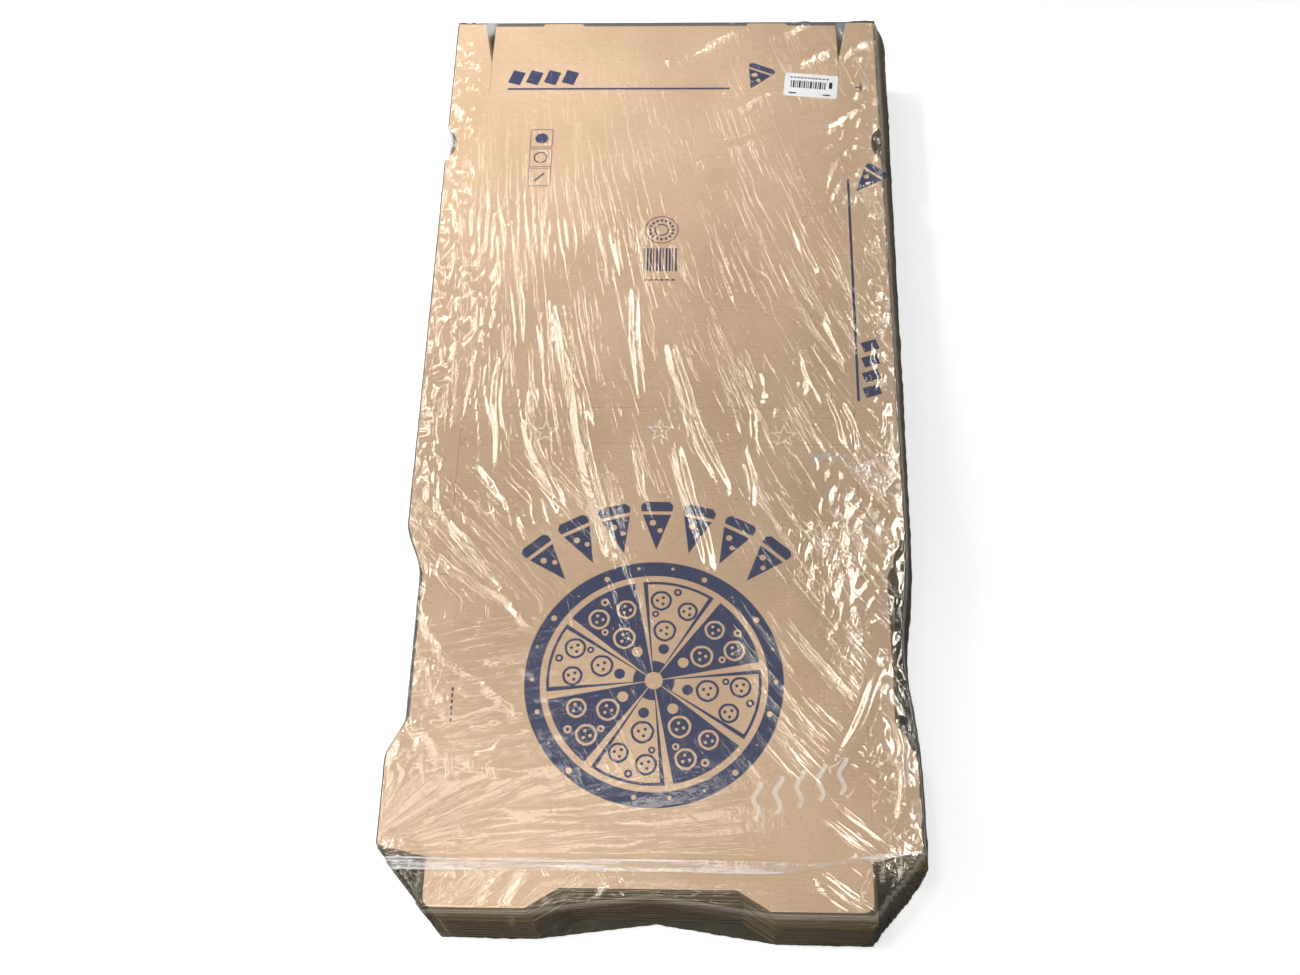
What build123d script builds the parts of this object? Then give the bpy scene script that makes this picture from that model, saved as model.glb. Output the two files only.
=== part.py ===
from build123d import *
import os
from math import atan2, cos, degrees, hypot, radians, sin

# A pack of flat pizza boxes: die-cut blanks of corrugated board, stacked and wrapped in clear shrink film.
# Millimetres, +Z up. The origin is the middle of the underside. X runs across the blanks. Y runs along
# them, from the lid's front flap at -Y to the base's roll-over flap at +Y.

# Stack: the lower blanks lie out of line with the top one, and the upper ones drift back to it
blank_count = 50
board_thickness = 1.7
stack_lean_x = 5
stack_lean_y = -5
stack_turn = 0.5
drift_height = 25
blank_slip = 0.5
slip_step_x = 2.4
slip_step_y = 1.7

# Blank, from fold to fold
panel_width = 330
wall_height = 35
base_length = 345
lid_length = 345
roll_over_length = 47.5
lid_flap_length = 36.5

# Blank edges
roll_over_relief = 1
front_ear_overhang = 3
ear_slot_mouth = 9
lock_tab_middle = 98
lock_tab_width = 40
lock_tab_height = 3
lock_tab_slant = 2
notch_length = 35
notch_floor = 12
notch_depth = 8.5
notch_from_front = 62
back_ear_length = 154
back_ear_taper = 43
lid_side_inset = 15
wing_length = 106
wing_flare = 27
wing_corner_radius = 24
wing_rake = 8.5
lid_flap_inset = 2
lid_flap_corner_radius = 8
lid_flap_corner_cut = 5
cut_out_mouth = 178
cut_out_root = 129
cut_out_depth = 15

# Creases and slits of the die, which show on the top blank
crease_width = 3
crease_depth = 0.25
crease_stop = 2
roll_over_crease_gap = 4
slit_width = 0.2
slit_overrun = 2

# Film, its weld bead and its tension folds
film_thickness = 0.1
film_clearance = 0.4
film_side_dip = 8
film_front_dip = 12
bead_width = 1.6
bead_height = 0.5
bead_from_fold = 3
fold_width = 3
fold_height = 0.9

# Paper label on the film
label_width = 50
label_height = 28
label_thickness = 0.12
label_corner_radius = 2
label_from_side = 27
label_past_front = 7
label_turn = -6

# Places worked out from the sizes, with y counted from the lid's front fold
half_panel = panel_width / 2
half_width = half_panel + wall_height
half_lid = half_width - lid_side_inset
half_flap = half_panel - lid_flap_inset
flap_end = -lid_flap_length
lid_back = lid_length
base_back = lid_back + wall_height
base_front = base_back + base_length
wall_top = base_front + wall_height
roll_over_end = wall_top + roll_over_length
front_ear_end = roll_over_end + front_ear_overhang
lock_tab_end = roll_over_end + lock_tab_height
lock_tab_inside = lock_tab_middle - lock_tab_width / 2
lock_tab_outside = lock_tab_middle + lock_tab_width / 2
far_end = max(front_ear_end, lock_tab_end)
notch_middle = base_front - notch_from_front
back_ear_end = base_back - back_ear_length
stack_height = blank_count * board_thickness
film_top = stack_height + 2 * film_thickness


def blank_outline(rounded):
    """The die-cut outline of one blank, half of it drawn from the far end to the near one and mirrored.
    Under the top blank its round cuts are straightened."""
    notch_far = (half_width, notch_middle + notch_length / 2)
    notch_near = (half_width, notch_middle - notch_length / 2)
    front_half = Polyline(
        (0, roll_over_end),
        (lock_tab_inside, roll_over_end),
        (lock_tab_inside + lock_tab_slant, lock_tab_end),
        (lock_tab_outside - lock_tab_slant, lock_tab_end),
        (lock_tab_outside, roll_over_end),
        (half_panel - roll_over_relief, roll_over_end),
        (half_panel, wall_top),
        (half_panel + ear_slot_mouth, front_ear_end),
        (half_width, front_ear_end),
        notch_far,
    )
    notch_inside = half_width - notch_depth
    if rounded:
        notch = ThreePointArc(notch_far, (notch_inside, notch_middle), notch_near)
    else:
        floor_far = (notch_inside, notch_middle + notch_floor / 2)
        floor_near = (notch_inside, notch_middle - notch_floor / 2)
        notch = Polyline(notch_far, floor_far, floor_near, notch_near)
    lid_half = Polyline(
        notch_near,
        (half_width, back_ear_end + back_ear_taper),
        (half_lid, back_ear_end),
        (half_lid, wing_length),
        (half_width, wing_length - wing_flare),
        (half_width, wing_rake),
        (half_flap, 0),
        (half_flap, flap_end),
        (cut_out_mouth / 2, flap_end),
        (cut_out_root / 2, flap_end + cut_out_depth),
        (0, flap_end + cut_out_depth),
    )
    half = front_half + notch + lid_half
    outline = make_face(half + mirror(half, about=Plane.YZ))
    if rounded:
        wing_corners = outline.vertices().filter_by(lambda v: abs(v.Y - wing_length + wing_flare) < 0.01)
        outline = fillet(wing_corners, wing_corner_radius)
    near_corners = outline.vertices().group_by(Axis.Y)[0].sort_by(Axis.X)
    flap_corners = [near_corners[0], near_corners[-1]]
    if rounded:
        return fillet(flap_corners, lid_flap_corner_radius)
    return chamfer(flap_corners, lid_flap_corner_cut)


def on_line(start, end):
    """The place of a line in plan, at its middle with X along it, and its length."""
    run = Vector(*end) - Vector(*start)
    middle = (Vector(*start) + Vector(*end)) / 2
    return Pos(middle) * Rot(0, 0, degrees(atan2(run.Y, run.X))), run.length


def bar(start, end, width, height, overrun):
    """A thin straight bar that stands on the line from start to end and runs past both by the overrun."""
    place, length = on_line(start, end)
    standing = (Align.CENTER, Align.CENTER, Align.MIN)
    return place * Box(length + 2 * overrun, width, height, align=standing)


def crease(start, end):
    """The shallow V that a creasing rule presses into the upper face along a fold, short of both its ends."""
    place, length = on_line(start, end)
    rim = (crease_width, crease_depth)
    section = make_face(Polyline((0, -crease_depth), rim, (-rim[0], rim[1]), close=True))
    groove = extrude(Plane.YZ * section, length / 2 - crease_stop, both=True)
    return Pos(0, 0, board_thickness) * place * groove


def creased(plain):
    """The blank that shows: creases pressed into its upper face, and slits that free its ears."""
    creases = [((-half_flap, 0), (half_flap, 0))]
    for y in (lid_back, base_back, base_front, wall_top, wall_top + roll_over_crease_gap):
        creases.append(((-half_panel, y), (half_panel, y)))
    slits = []
    for side in (-1, 1):
        fold = side * half_panel
        creases.append(((fold, base_back), (fold, base_front)))
        creases.append(((fold, 0), (fold, back_ear_end)))
        creases.append(((fold, base_front), (side * half_width, base_front)))
        creases.append(((fold, base_back), (side * half_width, base_back)))
        slits.append(((fold, base_front + slit_overrun), (fold, wall_top)))
        slits.append(((fold, back_ear_end), (fold, base_back - slit_overrun)))
        slits.append(((fold, back_ear_end), (side * half_lid, back_ear_end)))
    grooves = [crease(*line) for line in creases]
    below = Pos(0, 0, -board_thickness)
    cuts = [below * bar(*line, slit_width, 3 * board_thickness, slit_overrun) for line in slits]
    return plain - grooves - cuts


def drifted(drift):
    """Where the stack lies in plan: 0 is the top blank's place, and 1 is the lower blanks'."""
    return Pos(drift * stack_lean_x, drift * stack_lean_y) * Rot(0, 0, -drift * stack_turn)


def blank_place(level):
    """How one blank lies in the stack, with a small slip of its own."""
    depth = (blank_count - 1 - level) * board_thickness
    slip_x = blank_slip * sin(slip_step_x * level)
    slip_y = blank_slip * cos(slip_step_y * level)
    lift = Pos(slip_x, slip_y, film_thickness + level * board_thickness)
    return lift * drifted(min(1, depth / drift_height))


def film_line():
    """The line that the film takes round one blank, from corner to corner, with dips over the open places."""
    half = Polyline(
        (0, far_end),
        (half_width, far_end),
        (half_width, back_ear_end + back_ear_taper),
        (half_width - film_side_dip, (back_ear_end + wing_length) / 2),
        (half_width, wing_length - wing_flare),
        (half_width, wing_rake),
        (half_flap, flap_end),
        (cut_out_mouth / 2, flap_end),
        (0, flap_end + film_front_dip),
    )
    return make_face(half + mirror(half, about=Plane.YZ))


def film_ring(line, drift, height):
    """The corners of the film's line in order, at one height of the stack."""
    placed = Pos(0, 0, height) * drifted(drift) * line
    return [edge @ 0 for edge in placed.face().outer_wire().order_edges()]


def flat_face(*corners):
    return Face(Wire.make_polygon(corners, close=True))


def film_body(line, floor, roof):
    """The space inside one line of the film: upright over the lower blanks, then drifting to the top one.
    Each drifting side is two flat triangles, folded along the diagonal that stands further out."""
    bend = film_top - drift_height
    low = film_ring(line, 1, floor)
    middle = film_ring(line, 1, bend)
    high = film_ring(line, (film_top - roof) / drift_height, roof)
    axis = Vector(0, (far_end + flap_end) / 2)
    faces = [flat_face(*low), flat_face(*high)]
    for start, end in zip(range(len(low)), [*range(1, len(low)), 0]):
        faces.append(flat_face(low[start], low[end], middle[end], middle[start]))
        rising = (middle[start] + high[end]) / 2 - axis
        falling = (middle[end] + high[start]) / 2 - axis
        if hypot(rising.X, rising.Y) > hypot(falling.X, falling.Y):
            faces.append(flat_face(middle[start], middle[end], high[end]))
            faces.append(flat_face(middle[start], high[end], high[start]))
        else:
            faces.append(flat_face(middle[start], middle[end], high[start]))
            faces.append(flat_face(middle[end], high[end], high[start]))
    return Solid(Shell(faces))


def film_fold(start, end):
    """A pinched fold of film on the top face, highest in its middle and dying out at both ends."""
    foot = Vector(0, 0, film_top - film_thickness / 2)
    run = Vector(*end) - Vector(*start)
    across = Vector(-run.Y, run.X).normalized() * (fold_width / 2)
    middle = (Vector(*start) + Vector(*end)) / 2 + foot
    crest = middle + Vector(0, 0, fold_height)
    section = make_face(Polyline(middle - across, middle + across, crest, close=True))
    return loft([Vertex(*(Vector(*start) + foot)), section, Vertex(*(Vector(*end) + foot))], ruled=True)


def film_wrap():
    """The closed film skin, with the weld bead across its near end and the folds that its tension pulls."""
    whole_drift = hypot(stack_lean_x, stack_lean_y) + radians(stack_turn) * far_end
    ledge = whole_drift * board_thickness / drift_height
    inside = offset(film_line(), blank_slip + ledge + film_clearance, kind=Kind.INTERSECTION)
    outside = offset(inside, film_thickness, kind=Kind.INTERSECTION)
    skin = film_body(outside, 0, film_top) - film_body(inside, film_thickness, film_top - film_thickness)
    bead_line = ((-half_flap, -bead_from_fold), (half_flap, -bead_from_fold))
    bead = Pos(0, 0, film_top - film_thickness / 2) * bar(*bead_line, bead_width, bead_height, 0)
    folds = [
        film_fold((-86, base_back + 86), (-45, lid_back - 52)),
        film_fold((-68, base_back + 13), (-35, lid_back - 70)),
        film_fold((-136, base_back + 48), (-132, lid_back - 24)),
        film_fold((11, base_back + 63), (55, lid_back - 38)),
        film_fold((half_panel - 57, base_back + 107), (half_panel, base_back + 20)),
        film_fold((half_panel - 34, base_back + 204), (half_panel + 4, base_back + 109)),
        film_fold((-half_panel - 27, lid_back - 34), (-half_panel + 68, back_ear_end - 40)),
        film_fold((-half_width + 5, wing_rake + 4), (-half_panel + 68, wing_rake + 42)),
        film_fold((-half_width + 25, wing_rake + 2), (-half_panel + 121, wing_rake + 35)),
        film_fold((half_panel + 11, wing_length + 34), (half_panel - 24, wing_length - 36)),
        film_fold((half_panel - 17, notch_middle + 3), (half_panel + 21, notch_middle + 39)),
    ]
    return skin + [bead, *folds]


def paper_label():
    """The small sticker on the film, over the right end of the front wall."""
    shape = RectangleRounded(label_width, label_height, label_corner_radius)
    place = Pos(half_panel - label_from_side, base_front + label_past_front, film_top) * Rot(0, 0, label_turn)
    return place * extrude(shape, label_thickness)


wrap = film_wrap()
nodes = {"film_wrap": wrap, "label": paper_label()}
lower_blank = extrude(blank_outline(rounded=False), board_thickness).clean()
top_blank = creased(extrude(blank_outline(rounded=True), board_thickness).clean())
for level in range(blank_count):
    blank = top_blank if level == blank_count - 1 else lower_blank
    nodes[f"blank_{level + 1:02d}"] = blank_place(level) * blank

pack_middle = wrap.bounding_box().center()
to_origin = Pos(-pack_middle.X, -pack_middle.Y, 0)
os.makedirs("parts", exist_ok=True)
for name, shape in nodes.items():
    export_step(to_origin * shape, f"parts/{name}.step")
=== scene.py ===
from math import cos, pi, radians, sin, tau

import bpy
import numpy as np
from mathutils import Matrix, Vector, noise


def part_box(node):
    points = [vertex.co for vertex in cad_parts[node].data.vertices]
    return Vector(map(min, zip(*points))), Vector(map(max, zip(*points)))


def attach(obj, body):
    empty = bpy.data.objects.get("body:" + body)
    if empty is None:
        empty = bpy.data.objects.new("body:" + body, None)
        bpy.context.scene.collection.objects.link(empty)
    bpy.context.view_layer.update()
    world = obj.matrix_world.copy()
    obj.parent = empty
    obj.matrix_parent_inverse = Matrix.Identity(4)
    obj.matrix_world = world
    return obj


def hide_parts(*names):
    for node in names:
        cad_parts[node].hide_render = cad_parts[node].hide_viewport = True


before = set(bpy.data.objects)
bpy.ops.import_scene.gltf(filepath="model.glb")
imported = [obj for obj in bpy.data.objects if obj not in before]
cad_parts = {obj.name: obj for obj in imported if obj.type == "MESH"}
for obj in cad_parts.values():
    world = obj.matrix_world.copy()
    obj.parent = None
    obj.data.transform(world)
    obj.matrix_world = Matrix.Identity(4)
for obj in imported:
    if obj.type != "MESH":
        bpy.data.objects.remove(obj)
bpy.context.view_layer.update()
mm = 0.001


# The blanks are fifty die-cut sheets of brown corrugated board, lying flat on each other.
# Each is two smooth liners glued to a fluted sheet, so its cut edges show the liners as thin lines with the
# flutes as a dark wave between them. It is pale kraft with fibres and flecks. The cut edges and the blanks
# down in the stack are painted darker: painted shade, with the edges partly their own darker tone.
class Shade:
    """A value on its way through a material's nodes, so that its maths is written as plain expressions."""

    def __init__(self, finish, socket):
        self.finish = finish
        self.socket = socket

    def __add__(self, other):
        return self.finish.math("ADD", self, other)

    def __sub__(self, other):
        return self.finish.math("SUBTRACT", self, other)

    def __rsub__(self, other):
        return self.finish.math("SUBTRACT", other, self)

    def __mul__(self, other):
        return self.finish.math("MULTIPLY", self, other)

    def __truediv__(self, other):
        return self.finish.math("DIVIDE", self, other)

    def __mod__(self, other):
        return self.finish.math("FLOORED_MODULO", self, other)

    def __gt__(self, other):
        return self.finish.math("GREATER_THAN", self, other)

    def __lt__(self, other):
        return self.finish.math("LESS_THAN", self, other)

    def __abs__(self):
        return self.finish.math("ABSOLUTE", self)

    __radd__ = __add__
    __rmul__ = __mul__


class Finish:
    """A material of its own, with its nodes made one by one."""

    def __init__(self, name):
        self.material = bpy.data.materials.new(name)
        self.material.use_nodes = True
        self.tree = self.material.node_tree
        self.tree.nodes.clear()

    def node(self, kind, sockets, output=0, **settings):
        made = self.tree.nodes.new("ShaderNode" + kind)
        for name, value in settings.items():
            setattr(made, name, value)
        for name, value in sockets.items():
            shown = [socket for socket in made.inputs if socket.enabled]
            socket = shown[name] if isinstance(name, int) else next(s for s in shown if s.name == name)
            if isinstance(value, Shade):
                self.tree.links.new(value.socket, socket)
            else:
                socket.default_value = value
        outputs = [socket for socket in made.outputs if socket.enabled]
        found = outputs[output] if isinstance(output, int) else next(s for s in outputs if s.name == output)
        return Shade(self, found)

    def math(self, operation, *values):
        return self.node("Math", dict(enumerate(values)), operation=operation)

    def place(self, scale=(1, 1, 1), location=(0, 0, 0), rotation=(0, 0, 0)):
        """Object coordinates, in metres, turned, scaled and moved."""
        point = self.node("TexCoord", {}, output="Object")
        sockets = {"Vector": point, "Scale": scale, "Location": location, "Rotation": rotation}
        return self.node("Mapping", sockets)

    def axes(self, vector):
        """The three numbers of a vector."""
        split = self.node("SeparateXYZ", {"Vector": vector})
        return [Shade(self, socket) for socket in split.socket.node.outputs]

    def noise(self, scale, detail=3, roughness=0.5, **mapping):
        """Soft noise from 0 to 1, with scale in lumps a metre along each axis."""
        sockets = {"Vector": self.place(scale=scale, **mapping), "Scale": 1}
        sockets |= {"Detail": detail, "Roughness": roughness}
        return self.node("TexNoise", sockets)

    def step(self, value, low, high):
        """0 below low, 1 above high, and a smooth rise between them."""
        sockets = {"Value": value, "From Min": low, "From Max": high}
        return self.node("MapRange", sockets, interpolation_type="SMOOTHSTEP")

    def tint(self, share, first, second):
        """One colour, going over to another as the share goes from 0 to 1."""
        sockets = {"Factor": share, "A": first, "B": second}
        return self.node("Mix", sockets, data_type="RGBA")

    def bump(self, height, distance):
        return self.node("Bump", {"Height": height, "Distance": distance, "Strength": 1.0})

    def show(self, shader):
        output = self.tree.nodes.new("ShaderNodeOutputMaterial")
        self.tree.links.new(shader.socket, output.inputs["Surface"])
        return self.material


def colour(red, green, blue):
    """A colour read off a screen, from 0 to 255, as the shader takes it."""
    linear = [((c / 255 + 0.055) / 1.055) ** 2.4 for c in (red, green, blue)]
    return (*linear, 1)


blank_names = sorted(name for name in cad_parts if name.startswith("blank_"))
top_name = blank_names[-1]
board_low, board_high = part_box(top_name)
board_thickness = board_high.z - board_low.z
flute_pitch = 3.4 * mm
liner_share = 0.16
fibre_relief = 0.018 * mm
dull_shine = 0.25
kraft_pale = colour(226, 194, 161)
kraft_deep = colour(211, 179, 146)
kraft_fleck = colour(150, 118, 88)
# Darker kraft for the blanks under the top one: painted shade, for the lower stack lying in shade under the
# film.
painted_shade_pale = colour(162, 141, 104)
painted_shade_deep = colour(146, 126, 91)
# Cut edge colours, darker than the board: partly the edge's own darker tone, partly painted shade on the
# stack's sides.
core_dark_and_shade = colour(84, 72, 45)
liner_edge_and_shade = colour(134, 118, 78)


def kraft_board(name, bottom, pale, deep):
    finish = Finish(name)
    x, y, z = finish.axes(finish.place())
    mottle = finish.noise((14, 9, 14), detail=4)
    fibre = finish.noise((160, 900, 900), detail=2)
    speck = finish.noise((700, 420, 700), detail=1)
    flutes = finish.math("SINE", y * (tau / flute_pitch))
    wash = flutes * 0.5 + 0.5
    depth = finish.step(mottle * 0.68 + fibre * 0.28 + wash * 0.04, 0.34, 0.66)
    face = finish.tint(depth, pale, deep)
    flecked = finish.tint(finish.step(speck, 0.69, 0.76) * 0.55, face, kraft_fleck)
    normal_x, _, normal_z = finish.axes(finish.node("NewGeometry", {}, output="Normal"))
    cut = abs(normal_z) < 0.5
    level = ((z - bottom) / board_thickness) % 1
    from_middle = abs(level - 0.5) * 2
    end_cut = abs(normal_x) > 0.6
    flute = (abs((level - 0.5) * 2.4 - flutes * 0.7) < 0.5) * end_cut
    liner = from_middle > 1 - 2 * liner_share
    solid = finish.math("MAXIMUM", flute, liner)
    # Cut edges take the dark edge colours: partly their own tone, partly painted shade.
    edge = finish.tint(solid * (0.45 + 0.55 * fibre), core_dark_and_shade, liner_edge_and_shade)
    relief = fibre * 0.5 + wash * 0.5
    sockets = {
        "Base Color": finish.tint(cut, flecked, edge),
        "Roughness": 0.72 + 0.2 * fibre,
        "Normal": finish.bump(relief, fibre_relief),
        "Specular IOR Level": dull_shine,
    }
    return finish.show(finish.node("BsdfPrincipled", sockets))


stack_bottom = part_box(blank_names[0])[0].z
# The top blank takes plain kraft; the blanks under it take the darker kraft of painted shade.
top_board = kraft_board("kraft board", stack_bottom, kraft_pale, kraft_deep)
shaded_stacked_board = kraft_board("stacked board in painted shade", stack_bottom, painted_shade_pale, painted_shade_deep)
for name in blank_names:
    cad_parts[name].data.materials.clear()
    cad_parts[name].data.materials.append(top_board if name == top_name else shaded_stacked_board)


# The print is one dull navy ink and a thin opaque white, laid on the top liner by the box maker.
# It is a round pizza drawn in flat shapes with an arch of slices over it, stripes along two walls, a round
# stamp, bars, three marked squares and a few white stars and curls of steam. All of it is a generic design.
middle_x = (board_low.x + board_high.x) / 2
lid_flap_length = 36.5 * mm
lid_fold_y = board_low.y + lid_flap_length
ink_thickness = 0.03
ink_relief = 0.02 * mm
ink_join = 0.002 * mm


def round_loop(x, y, radius, points=28, wobble=0.0, waves=9):
    """A round outline in millimetres, a little uneven if asked."""
    loop = []
    for step in range(points):
        angle = tau * step / points
        reach = radius * (1 + wobble * sin(waves * angle) * cos(2 * angle))
        loop.append((x + reach * cos(angle), y + reach * sin(angle)))
    return loop


def sector_loop(x, y, inner, outer, start, end, points=14):
    """The outline of one cut of a ring, from one angle in degrees to another."""
    angles = [radians(start + (end - start) * step / points) for step in range(points + 1)]
    outside = [(x + outer * cos(angle), y + outer * sin(angle)) for angle in angles]
    inside = [(x + inner * cos(angle), y + inner * sin(angle)) for angle in reversed(angles)]
    return outside + inside


def block_loop(x0, y0, x1, y1):
    return [(x0, y0), (x1, y0), (x1, y1), (x0, y1)]


def placed_loop(loop, x, y, turn):
    """A loop drawn about its own origin, turned by some degrees and moved to its place."""
    c = cos(radians(turn))
    s = sin(radians(turn))
    return [(x + c * px - s * py, y + s * px + c * py) for px, py in loop]


def slice_loops(length, width):
    """A slice of pizza that points down, with a gap below its crust and two round toppings left open."""
    half = width / 2
    crust = [(-half, length * 0.80), (half, length * 0.80), (half * 1.06, length * 0.92)]
    crust += [(half * 0.8, length), (-half * 0.8, length), (-half * 1.06, length * 0.92)]
    body = [(0, 0), (half * 0.92, length * 0.73), (-half * 0.92, length * 0.73)]
    toppings = [round_loop(-half * 0.26, length * 0.56, half * 0.21, 14)]
    toppings.append(round_loop(half * 0.22, length * 0.40, half * 0.17, 14))
    return [crust, body, *toppings]


def star_loop(x, y, radius):
    points = []
    for step in range(10):
        reach = radius if step % 2 == 0 else radius * 0.42
        angle = pi / 2 + tau * step / 10
        points.append((x + reach * cos(angle), y + reach * sin(angle)))
    return points


def stroke_loop(line, width):
    """A band of ink along a line of points."""
    left = []
    right = []
    for index, (x, y) in enumerate(line):
        before = line[max(index - 1, 0)]
        after = line[min(index + 1, len(line) - 1)]
        run = Vector((after[0] - before[0], after[1] - before[1])).normalized() * (width / 2)
        left.append((x - run.y, y + run.x))
        right.append((x + run.y, y - run.x))
    return left + right[::-1]


def ink_layer(name, loops, top, ink):
    """Flat ink: each loop is filled, and a loop inside another is left open."""
    flat = bpy.data.curves.new(name, "CURVE")
    flat.dimensions = "2D"
    flat.fill_mode = "BOTH"
    flat.extrude = ink_thickness / 2
    for loop in loops:
        spline = flat.splines.new("POLY")
        spline.points.add(len(loop) - 1)
        spline.points.foreach_set("co", [value for x, y in loop for value in (x, y, 0, 1)])
        spline.use_cyclic_u = True
    layer = bpy.data.objects.new(name, flat)
    bpy.context.collection.objects.link(layer)
    layer.scale = (mm, mm, mm)
    layer.location = (middle_x, lid_fold_y, top + ink_thickness / 2 * mm)
    bpy.ops.object.select_all(action="DESELECT")
    layer.select_set(True)
    bpy.context.view_layer.objects.active = layer
    bpy.ops.object.convert(target="MESH")
    bpy.ops.object.transform_apply(location=True, rotation=True, scale=True)
    layer = bpy.context.object
    bpy.ops.object.mode_set(mode="EDIT")
    bpy.ops.mesh.select_all(action="SELECT")
    bpy.ops.mesh.remove_doubles(threshold=ink_join)
    bpy.ops.mesh.normals_make_consistent(inside=False)
    bpy.ops.object.mode_set(mode="OBJECT")
    layer.data.materials.append(ink)
    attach(layer, "root")


def printed_ink(name, full, worn, cover):
    """Ink that has sunk into the liner: the fibres show through where it lies thin."""
    finish = Finish(name)
    fibre = finish.noise((900, 160, 900), detail=2)
    cloud = finish.noise((45, 45, 45), detail=4)
    thin = finish.step(fibre * 0.6 + cloud * 0.4, cover, cover + 0.22)
    sockets = {
        "Base Color": finish.tint(thin * 0.6, full, worn),
        "Roughness": 0.6 + 0.25 * fibre,
        "Normal": finish.bump(fibre, ink_relief),
        "Specular IOR Level": dull_shine,
    }
    return finish.show(finish.node("BsdfPrincipled", sockets))


navy_ink = printed_ink("navy ink", colour(50, 58, 96), colour(116, 110, 120), 0.52)
white_ink = printed_ink("white ink", colour(240, 228, 212), colour(222, 196, 168), 0.45)

# The round pizza: a ring of crust with char marks, and slices that are filled and outlined in turn.
pizza_x = 1.5
pizza_y = 138
crust_outside = 100
crust_inside = 88
char_count = 22
slice_count = 8
slice_span = 360 / slice_count
slice_start = 9
slice_outside = 83
slice_inside = 7
slice_gap = 2.2
outline_rim = 2.2
outline_tip = 9
outline_turn = 2.4
navy_loops = [round_loop(pizza_x, pizza_y, crust_outside, 120)]
navy_loops.append(round_loop(pizza_x, pizza_y, crust_inside, 96))
for char in range(char_count):
    angle = tau * char / char_count
    reach = (crust_outside + crust_inside) / 2 + 1.5 * sin(5 * angle)
    char_x = pizza_x + reach * cos(angle)
    char_y = pizza_y + reach * sin(angle)
    navy_loops.append(round_loop(char_x, char_y, 1.6 + 0.9 * sin(3.7 * char), 12))

# Toppings of a slice: how far out from the middle, how far aside, and how large.
toppings = ((66, 11, 8.5), (62, -11.5, 8), (42, 2, 9), (27, -1, 4.2), (54, 12.5, 2.8), (76, 0, 3.2))
salami_least = 6
salami_rind = 2
pepper_count = 3
pepper_reach = 3.1
pepper_radius = 1.3
olive_most = 4
olive_hole = 0.45
for piece in range(slice_count):
    start = slice_start + slice_span * piece
    end = start + slice_span
    middle = radians(start + slice_span / 2)
    across = (-sin(middle), cos(middle))
    body = (slice_inside, slice_outside, start + slice_gap, end - slice_gap)
    navy_loops.append(sector_loop(pizza_x, pizza_y, *body))
    if piece % 2:
        reaches = (slice_inside + outline_tip, slice_outside - outline_rim)
        angles = (start + slice_gap + outline_turn, end - slice_gap - outline_turn)
        navy_loops.append(sector_loop(pizza_x, pizza_y, *reaches, *angles))
    for out, aside, size in toppings:
        turned = aside if piece % 3 else -aside
        top_x = pizza_x + out * cos(middle) + turned * across[0]
        top_y = pizza_y + out * sin(middle) + turned * across[1]
        navy_loops.append(round_loop(top_x, top_y, size, 24, wobble=0.03, waves=5))
        if size > salami_least:
            navy_loops.append(round_loop(top_x, top_y, size - salami_rind, 24, wobble=0.03, waves=5))
            for pepper in range(pepper_count):
                bearing = tau * pepper / pepper_count + piece
                pepper_x = top_x + pepper_reach * cos(bearing)
                pepper_y = top_y + pepper_reach * sin(bearing)
                navy_loops.append(round_loop(pepper_x, pepper_y, pepper_radius, 12))
        elif size < olive_most:
            navy_loops.append(round_loop(top_x, top_y, size * olive_hole, 12))

arch_radius = 111
arch_count = 7
arch_turn = 13.5
for arch in range(arch_count):
    turn = 90 - arch_turn * (arch - arch_count // 2)
    slice_x = pizza_x + arch_radius * cos(radians(turn))
    slice_y = pizza_y + arch_radius * sin(radians(turn))
    navy_loops += [placed_loop(loop, slice_x, slice_y, turn - 90) for loop in slice_loops(43, 25)]

# Stripes along the front wall and the right wall, each with four blocks and a slice on it.
stripe_width = 2.2
stripe_blocks = 4
front_stripe_y = 728
side_stripe_x = 168
navy_loops.append(block_loop(-148, front_stripe_y, 62, front_stripe_y + stripe_width))
navy_loops.append(block_loop(side_stripe_x, 388, side_stripe_x + stripe_width, 622))
for block in range(stripe_blocks):
    navy_loops.append(placed_loop(block_loop(-6, -8, 6, 8), -140 + 17 * block, front_stripe_y + 15, -18))
    navy_loops.append(placed_loop(block_loop(-7, -5, 7, 5), side_stripe_x + 13, 398 + 15 * block, 18))
navy_loops += [placed_loop(loop, 82, front_stripe_y + 1, -24) for loop in slice_loops(30, 25)]
navy_loops += [placed_loop(loop, side_stripe_x + 8, 608, -40) for loop in slice_loops(34, 22)]

# Three marked squares, one above the other.
square_x = -123
square_y = 614
square_side = 21
square_pitch = 22.5
square_line = 0.7
mark_x = square_x + square_side / 2
slash_y, ring_y, disc_y = (square_y + square_side / 2 + square_pitch * row for row in range(3))
for row in range(3):
    low_y = square_y + square_pitch * row
    navy_loops.append(block_loop(square_x, low_y, square_x + square_side, low_y + square_side))
    inner_low = (square_x + square_line, low_y + square_line)
    inner_high = (square_x + square_side - square_line, low_y + square_side - square_line)
    navy_loops.append(block_loop(*inner_low, *inner_high))
navy_loops.append(placed_loop(block_loop(-6, -1, 6, 1), mark_x, slash_y, 45))
navy_loops.append(round_loop(mark_x, ring_y, 6.5))
navy_loops.append(round_loop(mark_x, ring_y, 5.2))
navy_loops.append(round_loop(mark_x, disc_y, 6))

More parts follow.
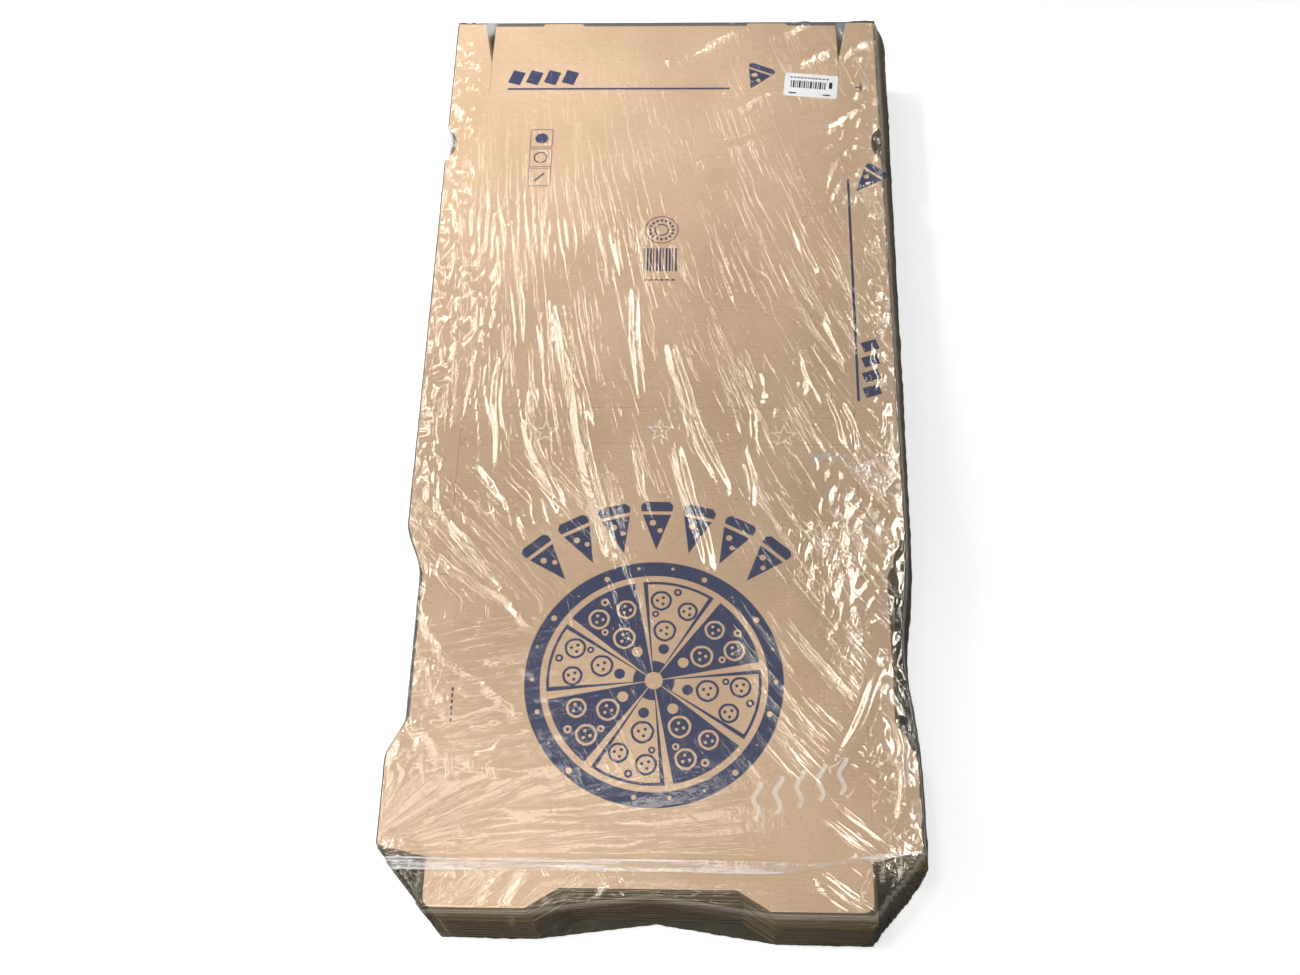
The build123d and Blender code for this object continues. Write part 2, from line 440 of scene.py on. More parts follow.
# A round stamp over a row of bars, and short dashes.
stamp_x = 0.7
stamp_y = 565
stamp_dots = 16
dot_reach = 10.4
navy_loops += [round_loop(stamp_x, stamp_y, radius, 48) for radius in (15, 14.2, 6.5, 5.4)]
for dot in range(stamp_dots):
    angle = tau * dot / stamp_dots
    dot_x = stamp_x + dot_reach * cos(angle)
    dot_y = stamp_y + dot_reach * sin(angle)
    navy_loops.append(round_loop(dot_x, dot_y, 1.3, 10))
bar_x = -15
bar_count = 11
bar_pitch = 2.8
for bar in range(bar_count):
    width = 1.7 if bar % 3 else 0.9
    low_x = bar_x + bar_pitch * bar
    navy_loops.append(block_loop(low_x, 520, low_x + width, 545))
dash_count = 6
dash_pitch = 5
dash_length = 3
for dash in range(dash_count):
    low_x = bar_x + dash_pitch * dash
    low_y = 103 + dash_pitch * dash
    navy_loops.append(block_loop(low_x, 510, low_x + dash_length, 511.6))
    navy_loops.append(block_loop(-154, low_y, -152.6, low_y + dash_length))
cross_mark = [(0.5, 0.5), (5, 0.5), (5, -0.5), (0.5, -0.5), (0.5, -5), (-0.5, -5)]
cross_mark += [(-x, -y) for x, y in cross_mark]
navy_loops.append(placed_loop(cross_mark, 185, 730, 0))

star_places = ((-93, 357), (3, 359), (106, 354))
star_outside = 12
star_inside = 8.5
curl_count = 5
curl_width = 3.4
white_loops = []
for star_x, star_y in star_places:
    white_loops.append(star_loop(star_x, star_y, star_outside))
    white_loops.append(star_loop(star_x, star_y, star_inside))
for curl in range(curl_count):
    curl_x = 78 + 16 * curl
    curl_y = 30 + 5 * curl
    line = [(curl_x + 2.4 * sin(0.75 * step) + 0.25 * step, curl_y + 2.6 * step) for step in range(12)]
    white_loops.append(stroke_loop(line, curl_width))

ink_layer("navy_print", navy_loops, board_high.z, navy_ink)
ink_layer("white_print", white_loops, board_high.z, white_ink)


# The film is one closed skin of clear shrink film, welded across the near end and shrunk tight on the pack.
# It lies on the board between long tension folds, gathers in fine pleats along the base panel, crinkles
# along both long edges and stands free over the openings at the near end.
film_gap = 0.08 * mm
film_top = board_high.z + film_gap
film_slack = 1.6 * mm
film_half = (board_high.x - board_low.x) / 2 + film_slack
film_near = board_low.y - film_slack
film_far = board_high.y + film_slack
film_length = film_far - film_near
column_pitch = 1.6 * mm
row_pitch = 3.6 * mm
columns = round(2 * film_half / column_pitch)
rows = round(film_length / row_pitch)

bpy.ops.object.select_all(action="DESELECT")
bpy.ops.mesh.primitive_grid_add(x_subdivisions=columns, y_subdivisions=rows, size=1, calc_uvs=False)
film = bpy.context.object
film.name = "shrink_film"
film.data.name = "shrink_film"
bpy.ops.object.mode_set(mode="EDIT")
bpy.ops.mesh.select_all(action="SELECT")
bpy.ops.transform.resize(value=(2 * film_half, film_length, 1))
bpy.ops.transform.translate(value=(middle_x, (film_near + film_far) / 2, film_top))
wing_rake = 8.5 * mm
flap_half = 163 * mm
for side in (-1, 1):
    corner = Vector((middle_x + side * film_half, lid_fold_y + wing_rake, film_top))
    across = Vector((side * (lid_fold_y + wing_rake - film_near), -(film_half - flap_half), 0))
    bpy.ops.mesh.select_all(action="SELECT")
    bpy.ops.mesh.bisect(plane_co=corner, plane_no=across, clear_outer=True)
bpy.ops.mesh.select_all(action="SELECT")
bpy.ops.mesh.region_to_loop()
ring_depths = [0.7, 2.2, *np.linspace(5, 84, 19), film_top / mm]
reached = 0
for ring_depth in ring_depths:
    bpy.ops.mesh.extrude_region_move(TRANSFORM_OT_translate={"value": (0, 0, (reached - ring_depth) * mm)})
    reached = ring_depth
bpy.ops.mesh.edge_face_add()
bpy.ops.object.mode_set(mode="OBJECT")

place = np.empty(len(film.data.vertices) * 3)
film.data.vertices.foreach_get("co", place)
place = place.reshape(-1, 3)
u = (place[:, 0] - middle_x) / mm
v = (place[:, 1] - lid_fold_y) / mm
depth = (film_top - place[:, 2]) / mm
side_reach = film_half / mm
near_reach = (film_near - lid_fold_y) / mm
far_reach = (film_far - lid_fold_y) / mm


def rise(value, low, high):
    """0 below low, 1 above high, with a smooth step between."""
    share = np.clip((value - low) / (high - low), 0, 1)
    return share * share * (3 - 2 * share)


def hump(value, middle, width):
    return np.exp(-(((value - middle) / width) ** 2))


def grain(across, along, seed):
    """Smooth noise from -1 to 1, one value for each point of the film."""
    return np.array([noise.noise((a, b, seed)) for a, b in zip(across, along)])


# Where it bridges the openings of the outline, the film pulls in.
recess_pull = 13.5
cutout_pull = 13
cutout_half = 92
cutout_fade = 14
left_recess = rise(v, 72, 108) * (1 - rise(v, 224, 272))
right_recess = hump(v, 166, 52)
side_pull = np.where(u < 0, 0.7 + recess_pull * left_recess, 8 * right_recess)
side_pull = side_pull * (np.abs(u) / side_reach) ** 6
front_pull = cutout_pull * np.clip(1 - np.abs(u) / cutout_half, 0, 1)
front_pull = front_pull * np.exp(-np.clip(v - near_reach, 0, None) / cutout_fade)
u = u - np.sign(u) * side_pull
v = v + front_pull

# Folds: where each starts and ends, its height and its width, in millimetres from the lid's fold.
tension_folds = (
    (-92, 490, -58, 352, 2.8, 8.0),
    (-74, 396, -34, 238, 2.6, 7.0),
    (-136, 428, -132, 321, 1.5, 4.4),
    (-111, 364, -74, 278, 2.2, 6.5),
    (10, 446, 32, 350, 2.3, 6.5),
    (20, 392, 58, 298, 2.3, 6.5),
    (15, 345, 45, 230, 2.3, 6.5),
    (-24, 505, -14, 386, 1.4, 5.0),
    (73, 345, 80, 288, 1.4, 4.4),
    (74, 420, 84, 330, 1.1, 4.0),
    (106, 488, 156, 422, 1.5, 4.4),
    (113, 578, 137, 517, 1.6, 4.0),
    (130, 578, 165, 495, 1.6, 4.0),
    (121, 590, 150, 520, 1.2, 3.4),
    (155, 386, 166, 340, 1.4, 4.0),
    (142, 392, 152, 350, 1.2, 3.6),
    (-192, 311, -97, 186, 2.0, 6.5),
    (-199, 322, -96, 222, 1.6, 5.5),
    (-151, 258, -94, 178, 1.5, 5.0),
    (-186, 206, -170, 178, 1.3, 6.0),
    (-178, 186, -160, 156, 1.3, 6.0),
    (-184, 164, -166, 134, 1.3, 5.5),
    (-172, 140, -154, 110, 1.3, 6.0),
    (-172, 512, -159, 484, 1.7, 6.0),
    (-164, 494, -152, 464, 1.7, 6.0),
    (-160, 472, -149, 446, 1.7, 5.5),
    (-172, 239, -85, 187, 1.6, 6.0),
    (-150, 330, -80, 240, 1.3, 5.0),
    (-152, 151, -98, 112, 1.2, 7.0),
    (-164, 77, -95, 65, 1.0, 5.0),
    (-131, 75, -111, 85, 1.2, 4.0),
    (-184, 105, -157, 81, 1.8, 6.0),
    (-198, 10, -110, 60, 0.5, 3.6),
    (-196, 8, -100, 44, 0.6, 3.6),
    (-150, 30, 6, 44, 0.5, 3.2),
    (-196, 6, -84, 30, 0.55, 3.4),
    (-120, 24, 34, 30, 0.5, 3.0),
    (-190, 4, -70, 15, 0.6, 3.0),
    (-60, 9, 50, 14, 0.45, 3.0),
    (-104, -38, -84, -10, 1.7, 6.0),
    (-122, -34, -104, -12, 1.2, 4.5),
    (-40, -34, -20, -15, 1.5, 5.0),
    (-74, -32, -38, -22, 1.3, 4.0),
    (20, -32, 46, -28, 1.2, 3.4),
    (46, -33, 76, -25, 1.6, 4.4),
    (112, -12, 128, -24, 0.9, 3.0),
    (156, -32, 162, -8, 1.0, 3.2),
    (180, 150, 140, 67, 2.8, 8.0),
    (180, 104, 149, 46, 1.4, 4.5),
    (188, 84, 168, 40, 1.2, 4.5),
    (2, 761, 70, 803, 2.9, 9.0),
    (119, 752, 157, 781, 2.6, 8.0),
    (60, 700, 100, 726, 2.0, 7.0),
    (140, 680, 184, 704, 2.3, 6.5),
    (161, 765, 196, 790, 2.3, 6.5),
    (30, 640, 84, 668, 1.8, 7.0),
    (96, 790, 140, 812, 2.0, 6.0),
    (192, 92, 184, 30, 1.6, 4.0),
    (198, 70, 176, 14, 1.2, 4.0),
    (-20, 345, -8, 292, 1.0, 4.0),
)
fold_gain = 1.25
fold_sway = 1.2
lift = np.zeros(len(u))
for x0, y0, x1, y1, height, width in tension_folds:
    run = np.array((x1 - x0, y1 - y0))
    length = np.hypot(*run)
    along = ((u - x0) * run[0] + (v - y0) * run[1]) / length
    aside = ((u - x0) * -run[1] + (v - y0) * run[0]) / length
    sway = fold_sway * np.sin(along / length * 7 + x0)
    share = np.clip(along / length, 0, 1)
    tent = np.clip(1 - np.hypot((aside - sway) / width, 0.2), 0, None)
    lift = np.maximum(lift, fold_gain * height * np.sin(pi * share) ** 0.4 * tent)

# Pleats: ridges that run along the pull of the film and fan out towards the right.
pleat_height = 0.9
fan = u + (0.30 + 0.0015 * u) * (v - 400)
pleat_zone = rise(v, 235, 320) * (1 - rise(v, 560, 640)) * rise(grain(u / 52, v / 60, 4), -0.25, 0.35)
pleat = 1 - np.abs(grain(fan / 9, v / 95, 1))
lift = lift + pleat_height * pleat_zone * rise(pleat, 0.8, 1.0)

# Crinkles: uneven ones along both long edges, level ones beside the lid's left half, creases over the open
# corners, a round bubble, and buckles where the film glares.
crinkle_height = 1.7
level_height = 0.6
corner_height = 2.2
bubble_height = 1.2
buckle_height = 1.3
edge = rise(np.abs(u), side_reach - 40, side_reach - 8) * np.where(u < 0, rise(v, 30, 80), 1)
warp = 8 * grain(u / 20, v / 20, 10)
crinkle = 1 - np.abs(grain((u + warp + 0.5 * v) / 11, (v - warp - 0.5 * u) / 15, 5))
lift = lift + crinkle_height * edge * rise(crinkle, 0.5, 1.0)
level_zone = rise(v, 45, 80) * (1 - rise(v, 170, 215)) * (1 - rise(u, -95, -40))
level_fold = 1 - np.abs(grain((v - 0.2 * u) / 8, u / 70, 12))
lift = lift + level_height * level_zone * rise(level_fold, 0.7, 1.0)
open_corner = hump(np.abs(u), 182, 14) * hump(v, -8, 16)
corner_crease = 1 - np.abs(grain((u + v) / 7, (v - u) / 9, 13))
lift = lift + corner_height * open_corner * rise(corner_crease, 0.45, 1.0)
bubble = np.hypot((u - 103) / 19, (v - 404) / 28)
lift = lift + bubble_height * hump(bubble, 1, 0.3) * rise(grain(u / 9, v / 9, 11), -0.5, 0.5)
glare_zone = hump(u, 145, 34) * hump(v, 265, 60) + hump(u, -165, 22) * hump(v, 480, 60)
glare_zone = glare_zone + 0.7 * hump(u, 172, 30) * hump(v, 640, 60)
buckle = 1 - np.abs(grain((u - 0.4 * v) / 11, (v + 0.4 * u) / 22, 7))
lift = lift + buckle_height * glare_zone * rise(buckle, 0.5, 1.0)

# The weld bead across the near end, and the flat place under the sticker.
weld_v = -5
weld_half = 4
weld_bend = 12
bend_start = 100
bend_end = 200
bead_height = 0.9
bead_width = 1.6
bead_v = weld_v + weld_bend * rise(u, bend_start, bend_end)
bead_half = weld_half - 3 * rise(u, 90, 125)
lift = lift + bead_height * hump(np.abs(v - bead_v), bead_half, bead_width)
label_low, label_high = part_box("label")
label_u = ((label_low.x + label_high.x) / 2 - middle_x) / mm
label_v = ((label_low.y + label_high.y) / 2 - lid_fold_y) / mm
under_label = (1 - rise(np.abs(u - label_u), 27, 36)) * (1 - rise(np.abs(v - label_v), 17, 26))
lift = lift * (1 - under_label)
lift = np.where(depth < 0.01, lift, 0)

# The sides follow the stack, which leans and turns under its upper blanks, with slack folds of their own.
drift_height = 25
stack_turn = radians(-0.5)
stack_lean = 5
long_side = np.abs(u) > side_reach - 12
near_side = v < near_reach + 30
far_side = v > far_reach - 3
drift = np.clip(depth / drift_height, 0, 1)
turn = stack_turn * drift
lean_u = u * np.cos(turn) - v * np.sin(turn) + stack_lean * drift
lean_v = u * np.sin(turn) + v * np.cos(turn) - stack_lean * drift
around = np.where(long_side, v, u)
slack = np.abs(grain(around / 13 + depth / 40, depth / 26, 8))
slack = slack + 0.6 * np.abs(grain(around / 5, depth / 13, 9))
outward_u = np.where(long_side, np.sign(u), 0)
outward_v = np.where(near_side, -1, np.where(far_side, 1, 0))
loose = rise(depth, 0.5, 12) * (1 - rise(depth, 76, 86))
foot = 2.0 * rise(depth, 81, 85.5)
left_swell = 0.8
swell = 1.5
lean_u = lean_u + outward_u * (np.where(u < 0, left_swell, swell) * slack * loose - foot)
lean_v = lean_v + outward_v * (swell * slack * loose - foot)
place[:, 0] = middle_x + lean_u * mm
place[:, 1] = lid_fold_y + lean_v * mm
place[:, 2] = place[:, 2] + lift * mm
film.data.vertices.foreach_set("co", place.ravel())
film.data.update()
bpy.ops.object.mode_set(mode="EDIT")
bpy.ops.mesh.select_all(action="SELECT")
bpy.ops.mesh.normals_make_consistent(inside=False)
bpy.ops.object.mode_set(mode="OBJECT")
bpy.ops.object.shade_smooth()

# How the film is worked, kept on its mesh for its finish: each point has a pull that its fine wrinkles
# follow, the faces on the lid's left half follow strands, and some patches are crumpled or rubbed milky.
clump = rise(grain(u / 62, v / 91, 14), -0.24, 0.24)
stirred = 0.25 + 0.75 * clump
smear = rise(grain(u / 24, v / 15, 15) + 0.5 * grain(u / 9, v / 8, 17), -0.5, 0.5)
haze_share = 0.03 * rise(grain(u / 45, v / 62, 16), 0, 0.6)
crumpled_patches = (
    (137, 262, 34, 62),
    (178, 335, 20, 45),
    (-168, 470, 16, 55),
    (-182, 300, 18, 60),
    (165, 780, 35, 30),
    (-172, 365, 26, 45),
    (-168, 155, 18, 55),
    (-182, -12, 22, 26),
    (182, -10, 22, 26),
)
milky_patches = ((-170, 812, 8, 22, 0.7), (170, 804, 6, 20, 0.5), (-203, 662, 10, 26, 1.0))
smeared_patch = (148, 328, 36, 13)


def oval(middle_u, middle_v, reach_u, reach_v):
    """1 in an oval patch of the film and 0 around it."""
    return 1 - rise(((u - middle_u) / reach_u) ** 2 + ((v - middle_v) / reach_v) ** 2, 0.3, 1.2)


def keep_on_film(name, domain, *values):
    """Three numbers for each point or face corner of the film."""
    layer = film.data.attributes.new(name, "FLOAT_VECTOR", domain)
    layer.data.foreach_set("vector", np.stack(values, axis=-1).ravel())


crumple_share = sum(oval(*patch) for patch in crumpled_patches) * (0.3 + 0.7 * clump)
milk_share = 0.75 * oval(*smeared_patch) * smear
for *patch, strength in milky_patches:
    milk_share = milk_share + strength * oval(*patch)
milk_share = milk_share * (1 - rise(depth, 0, 3))
keep_on_film("worked", "POINT", crumple_share, milk_share, haze_share)

# Strands: across and along each, counted in lumps, and its height on the flap, the lid's near end, and two
# zones beside the lid's left half. Each zone's height fades out before the next zone starts.
flap_end = -10
fan_end = 65
level_end = 195
left_half = 1 - rise(u, -90, -20)
fan_share = (1 - rise(v, fan_end - 20, fan_end)) * (1 - rise(u, 80, 160))
fan_share = fan_share * np.maximum(rise(v, flap_end, flap_end + 6), rise(u, -20, 20))
level_share = left_half * rise(v, fan_end, fan_end + 20) * (1 - rise(v, level_end - 25, level_end))
slant_share = left_half * rise(v, level_end, level_end + 25) * (1 - rise(v, 290, 350))
flap_share = rise(-v, -flap_end, 4 - flap_end) * (1 - rise(u, -60, -20))
pull_share = np.clip(1 - fan_share - level_share - slant_share - flap_share, 0, 1)
keep_on_film("pull", "POINT", 0.23 * fan, 0.017 * v, pull_share * stirred)

corner_point = np.empty(len(film.data.loops), dtype=int)
film.data.loops.foreach_get("vertex_index", corner_point)
face_size = np.empty(len(film.data.polygons), dtype=int)
film.data.polygons.foreach_get("loop_total", face_size)
corner_face = np.repeat(np.arange(len(face_size)), face_size)
face_u = (np.bincount(corner_face, u[corner_point]) / face_size)[corner_face]
face_v = (np.bincount(corner_face, v[corner_point]) / face_size)[corner_face]
fan_u = u + 222
fan_v = v + 2
strand_kinds = (
    (0.32 * (0.77 * v - 0.64 * u), 0.024 * (0.77 * u + 0.64 * v), 2.0 * flap_share * stirred),
    (34 * np.arctan2(fan_v, fan_u), 0.009 * np.hypot(fan_u, fan_v), 1.8 * fan_share * stirred),
    (0.26 * (v - 0.2 * u), 0.018 * u, 2.4 * level_share * stirred),
    (0.26 * (0.73 * u + 0.68 * v), 0.018 * (0.68 * u - 0.73 * v), 2.2 * slant_share * stirred),
)
zones = [(face_v < flap_end) & (face_u < -20), face_v < fan_end, face_v < level_end, face_v >= level_end]
strand = [np.select(zones, [value[corner_point] for value in values]) for values in zip(*strand_kinds)]
keep_on_film("strand", "CORNER", *strand)


# The film's colours: one clear layer on top; at the sides a dark olive tint, partly the second layer of film
# and partly painted shade on the stack behind it; and thin white marks: the middle of each and its reach,
# in metres from the lid's fold.
glint_cream = colour(255, 247, 230)
milk_white = colour(255, 255, 255)
one_layer = (0.97, 0.97, 0.97, 1)
two_layers_and_shade = (0.76, 0.72, 0.60, 1)
top_edge = board_high.z - 4 * mm
wall_top = board_high.z - 12 * mm
wrinkle_relief = 0.52 * mm
mirror_least = 0.11
mirror_most = 0.5
wall_mirror = 0.17
white_marks = ((0.194, 0.3315, 0.007, 0.0012), (0.192, 0.072, 0.0010, 0.018))


def clear_film(name):
    """Clear film: it lets the board through and mirrors the lamps, in wrinkles that follow its pull."""
    finish = Finish(name)
    x, y, z = finish.axes(finish.place(location=(-middle_x, -lid_fold_y, 0)))

    def kept(layer):
        """The three numbers that the film's mesh keeps under a name."""
        return finish.axes(finish.node("Attribute", {}, output="Vector", attribute_name=layer))

    def wrinkles(layer):
        """Fine wrinkles, from places across and along them that are counted in lumps, and their share."""
        across, along, share = kept(layer)
        point = finish.node("CombineXYZ", {"X": across, "Y": along, "Z": z * 40})
        sockets = {"Vector": point, "Scale": 1, "Detail": 3, "Roughness": 0.6}
        return share * finish.step(finish.node("TexNoise", sockets), 0.5, 0.8)

    def mark(middle_u, middle_v, reach_u, reach_v):
        """1 in a thin white mark of the film and 0 around it."""
        aside = (x - middle_u) / reach_u
        along = (y - middle_v) / reach_v
        return 1 - finish.step(aside * aside + along * along, 0.3, 1.2)

    crumpled, milky, haze = kept("worked")
    crumple = finish.noise((150, 110, 150), detail=3, roughness=0.6)
    hatch = finish.noise((260, 110, 260), detail=2, roughness=0.6, rotation=(0, 0, radians(20)))
    strands = wrinkles("strand")
    height = wrinkles("pull") + strands + crumple * 0.35 + 1.5 * hatch * crumpled
    seam_line = weld_v * mm + weld_bend * mm * finish.step(x, bend_start * mm, bend_end * mm)
    seam_half = weld_half * mm - 3.2 * mm * finish.step(x, 85 * mm, 125 * mm)
    from_line = abs(y - seam_line) / seam_half
    ply = finish.noise((26, 900, 60), detail=1)
    welded = (1 - finish.step(from_line, 0.85, 1.1)) * (0.34 + 0.5 * finish.step(ply, 0.4, 0.64))
    rim = 1 - finish.step(abs(from_line - 1) * seam_half, 0.3 * mm, 1.1 * mm)
    rim = rim * (0.45 + 0.55 * finish.step(finish.noise((14, 60, 14), detail=1), 0.4, 0.6))
    seam = finish.math("MAXIMUM", welded, rim) * (z > top_edge)
    rubbed = milky
    for place in white_marks:
        rubbed = rubbed + mark(*place)
    walls = 1 - finish.step(z, wall_top, top_edge)
    clouded = 0.08 * walls * finish.step(finish.noise((7, 9, 190), detail=1), 0.48, 0.72)
    rubbed = finish.math("MAXIMUM", rubbed, clouded)
    milk = finish.math("MAXIMUM", finish.math("MAXIMUM", seam, rubbed), 0.12 * strands)
    facing = finish.node("LayerWeight", {"Blend": 0.12}, output="Fresnel")
    upper = finish.step(z, wall_top, board_high.z - mm)
    mirror = (mirror_least + 0.25 * facing + haze) * (wall_mirror + (1 - wall_mirror) * upper)
    mirror = finish.math("MINIMUM", mirror, mirror_most)
    sockets = {
        "Base Color": finish.tint(milk, glint_cream, milk_white),
        "Metallic": 1 - milk,
        "Roughness": 0.05 + 0.08 * crumple,
        "Normal": finish.bump(height, wrinkle_relief),
    }
    gloss = finish.node("BsdfPrincipled", sockets)
    through = finish.node("BsdfTransparent", {"Color": one_layer})
    # At the sides, what shows through the film is tinted darker: partly the second layer, partly painted
    # shade.
    doubled_and_shaded = finish.node("BsdfTransparent", {"Color": two_layers_and_shade})
    clear = finish.node("MixShader", {0: walls, 1: through, 2: doubled_and_shaded})
    share = finish.math("MAXIMUM", mirror, 0.6 * milk)
    return finish.show(finish.node("MixShader", {0: share, 1: clear, 2: gloss}))


film.data.materials.append(clear_film("clear film"))
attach(film, "root")
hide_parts("film_wrap")


# The label is a small white paper sticker with rounded corners, stuck on the film over the front wall.
# It carries plain bars and short dashes, printed in black.
def sticker_paper(name):
    finish = Finish(name)
    fibre = finish.noise((1200, 1200, 1200), detail=2)
    soil = finish.noise((60, 60, 60), detail=3)
    shade = finish.tint(finish.step(soil, 0.4, 0.75) * 0.5, colour(240, 240, 240), colour(222, 221, 220))
    sockets = {
        "Base Color": shade,
        "Roughness": 0.42 + 0.2 * fibre,
        "Normal": finish.bump(fibre, 0.01 * mm),
    }
    return finish.show(finish.node("BsdfPrincipled", sockets))


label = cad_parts["label"]
label.data.materials.clear()
label.data.materials.append(sticker_paper("sticker paper"))
black_ink = printed_ink("black ink", colour(34, 34, 38), colour(96, 96, 98), 0.62)
label_turn = -6
# Bars: where each starts and how wide it is, in millimetres from the sticker's middle.
bars = [(-19, 0.9), (-17, 1.6), (-14.6, 0.7), (-13, 0.7), (-11.4, 1.8), (-8.6, 0.8), (-6.8, 1.4)]
bars += [(-4.4, 0.8), (-2.8, 0.8), (-0.9, 1.9), (2.2, 0.8), (4, 1.4), (6.4, 0.8), (8, 1.8)]
bars += [(10.8, 0.8), (12.6, 1.2)]
bar_low = -3.5
bar_high = 5
sticker_loops = [block_loop(x, bar_low, x + width, bar_high) for x, width in bars]
sticker_loops += [block_loop(-20 + 3.4 * dash, 8.2, -17.8 + 3.4 * dash, 9.6) for dash in range(11)]
sticker_loops.append(block_loop(-20, -11, -13, -9.4))
sticker_loops.append(block_loop(12, -11, 19, -9.6))
sticker_loops.append(block_loop(17, -2, 20, 5.5))
sticker_loops = [placed_loop(loop, label_u, label_v, label_turn) for loop in sticker_loops]
ink_layer("label_print", sticker_loops, label_high.z, black_ink)


# The floor is a plain pale sheet under the pack, which keeps its shadow. It is seen white, and it throws
# only a little light back on the board. Seen through the film it shows dull grey: painted shade under the
# wrap.
floor_size = 12
floor_drop = 0.2 * mm
floor_glow = 0.68
floor_pale = colour(214, 214, 214)
floor_dull_and_shade = (0.16, 0.16, 0.16, 1)
bpy.ops.object.select_all(action="DESELECT")
bpy.ops.mesh.primitive_plane_add(size=floor_size, location=(0, 0, -floor_drop))
floor = bpy.context.object
floor.name = "floor"
pale = Finish("pale floor")
path = pale.tree.nodes.new("ShaderNodeLightPath")
seen = Shade(pale, path.outputs["Is Camera Ray"]) + Shade(pale, path.outputs["Is Glossy Ray"])
seen = pale.math("MINIMUM", seen + Shade(pale, path.outputs["Is Transmission Ray"]), 1)
# Seen through the film, the floor turns dull grey: painted shade under the wrap.
seen = seen * (Shade(pale, path.outputs["Transparent Depth"]) < 0.5)
matte = pale.node("BsdfDiffuse", {"Color": floor_pale})
glow = pale.node("Emission", {"Color": (1, 1, 1, 1), "Strength": floor_glow})
lit = pale.node("AddShader", {0: matte, 1: glow})
dull = pale.node("BsdfDiffuse", {"Color": floor_dull_and_shade})
floor.data.materials.append(pale.show(pale.node("MixShader", {0: seen, 1: dull, 2: lit})))


# The light is soft panels to the left and at the near end, which light the board. The other panels, tubes
# and strips are only mirrored by the film: the tubes towards the camera, the strips towards other sides.
def hang(name, light, location, target, mirrored=True, lights_board=True):
    """A lamp aimed at a point. The film mirrors it and it lights the board, unless told otherwise."""
    holder = bpy.data.objects.new(name, light)
    bpy.context.collection.objects.link(holder)
    holder.location = location
    holder.rotation_euler = (Vector(target) - Vector(location)).to_track_quat("-Z", "Y").to_euler()
    holder.visible_glossy = mirrored
    holder.visible_diffuse = lights_board


def panel(name, width, depth, power, location, target, **shows):
    light = bpy.data.lights.new(name, "AREA")
    light.shape = "RECTANGLE"
    light.size = width
    light.size_y = depth
    light.energy = power
    hang(name, light, location, target, **shows)


def spot(name, angle, power, location, target):
    light = bpy.data.lights.new(name, "SPOT")
    light.spot_size = radians(angle)
    light.spot_blend = 1
    light.shadow_soft_size = spot_radius
    light.energy = power
    hang(name, light, location, target, mirrored=False)


spot_radius = 0.2
panel("left_far_panel", 1.0, 1.0, 14, (-1.75, 1.05, 2.1), (0, 0, 0))
panel("left_panel", 0.8, 0.6, 5, (-1.5, 0.1, 2.1), (0, 0, 0))
panel("left_fill", 0.6, 0.8, 5.9, (-1.3, 0.25, 1.4), (0, 0, 0.08), mirrored=False)
panel("right_panel", 0.8, 0.5, 4, (1.5, 0.8, 2.1), (0, 0.1, 0), lights_board=False)
panel("right_window", 0.4, 0.8, 8, (0.85, 0.75, 2.25), (0.1, 0.1, 0), lights_board=False)
panel("near_window", 0.8, 0.3, 2.6, (-0.2, -0.8, 2.3), (0, -0.3, 0), lights_board=False)
panel("near_sheen", 0.9, 0.16, 1.15, (-0.33, 0.225, 2.28), (-0.33, 0.225, 0), lights_board=False)
panel("near_panel", 1.1, 0.6, 5.4, (-0.8, -0.4, 2.3), (0, -0.2, 0))
spot("far_spot", 22, 190, (-1.2, 0.7, 2.0), (-0.22, 0.38, 0.08))
spot("near_spot", 21, 105, (-0.5, -0.45, 2.3), (-0.12, -0.44, 0.08))

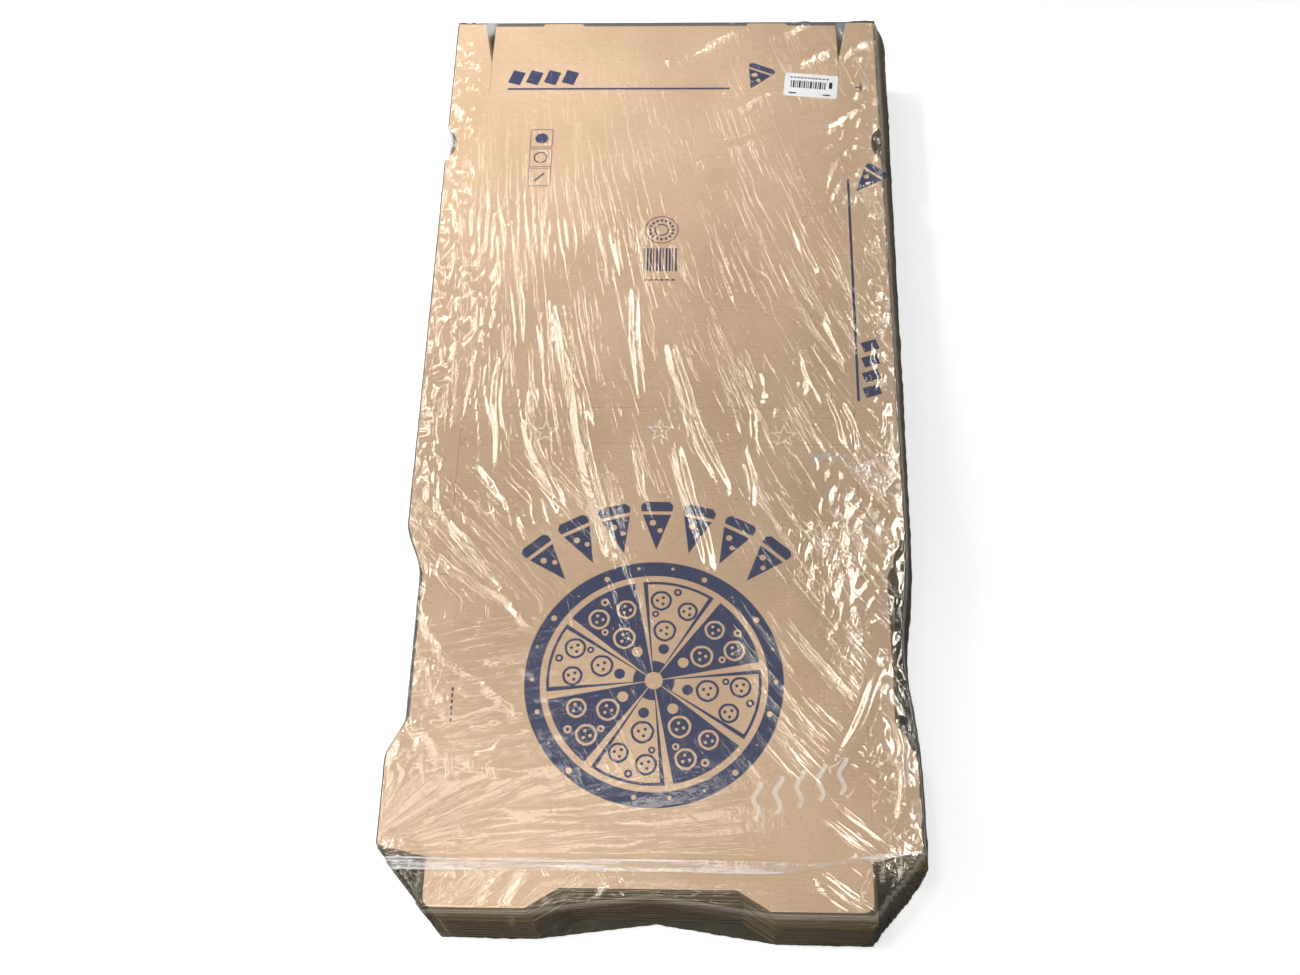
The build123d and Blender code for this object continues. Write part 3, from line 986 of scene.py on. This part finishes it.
# Flat film mirrors each tube to the camera in a band across the pack, some millimetres from the lid's fold.
camera_height = 1129.55
camera_near = 276.60
camera_side = 36.04
tube_height = 2200
tube_side = 1.0
tube_size = (0.8, 0.12)
tube_power = 2.4
left_bands = (115, 165, 430, 511, 585)
right_bands = (113, 150, 330, 430, 520, 590)
for side, bands in ((-1, left_bands), (1, right_bands)):
    for band in bands:
        tube_v = band + (band + camera_near) * tube_height / camera_height
        tube_place = (side * tube_side, lid_fold_y + tube_v * mm, board_high.z + tube_height * mm)
        tube_name = f"tube_{side}_{band}"
        panel(tube_name, *tube_size, tube_power, tube_place, (0, 0.1, 0), lights_board=False)
strip_size = (1.4, 0.1)
strip_power = 2.2
strip_rows = ((2.6, 1.3), (2.2, 1.9))
for bearing in (45, 135, 225, 315):
    for reach, height in strip_rows:
        strip_place = (reach * cos(radians(bearing)), reach * sin(radians(bearing)), height)
        strip_name = f"strip_{bearing}_{height}"
        panel(strip_name, *strip_size, strip_power, strip_place, (0, 0, 0), lights_board=False)
room_colour = (0.95, 0.97, 1, 1)
room_strength = 0.31
world = bpy.data.worlds.new("room")
world.use_nodes = True
world.node_tree.nodes["Background"].inputs["Color"].default_value = room_colour
world.node_tree.nodes["Background"].inputs["Strength"].default_value = room_strength
bpy.context.scene.world = world

# The camera stands where the photograph was taken from, at the near end and a little to the right, and looks
# down along the pack.
sensor_width = 36
lens_length = 42.956
camera_pitch = radians(62.690)
camera_yaw = radians(4.006)
camera_roll = radians(3.230)
forward = Vector((0, cos(camera_pitch), -sin(camera_pitch)))
right = Vector((1, 0, 0))
forward.rotate(Matrix.Rotation(camera_yaw, 3, "Z"))
right.rotate(Matrix.Rotation(camera_yaw, 3, "Z"))
down = forward.cross(right)
level = cos(camera_roll) * right + sin(camera_roll) * down
upright = sin(camera_roll) * right - cos(camera_roll) * down
lens = bpy.data.cameras.new("camera")
lens.sensor_width = sensor_width
lens.lens = lens_length
camera = bpy.data.objects.new("camera", lens)
bpy.context.collection.objects.link(camera)
turned = Matrix((level, upright, -forward)).transposed().to_4x4()
stand = (middle_x + camera_side * mm, lid_fold_y - camera_near * mm, board_high.z + camera_height * mm)
camera.matrix_world = Matrix.Translation(stand) @ turned
bpy.context.scene.camera = camera
bpy.context.scene.view_settings.view_transform = "Standard"
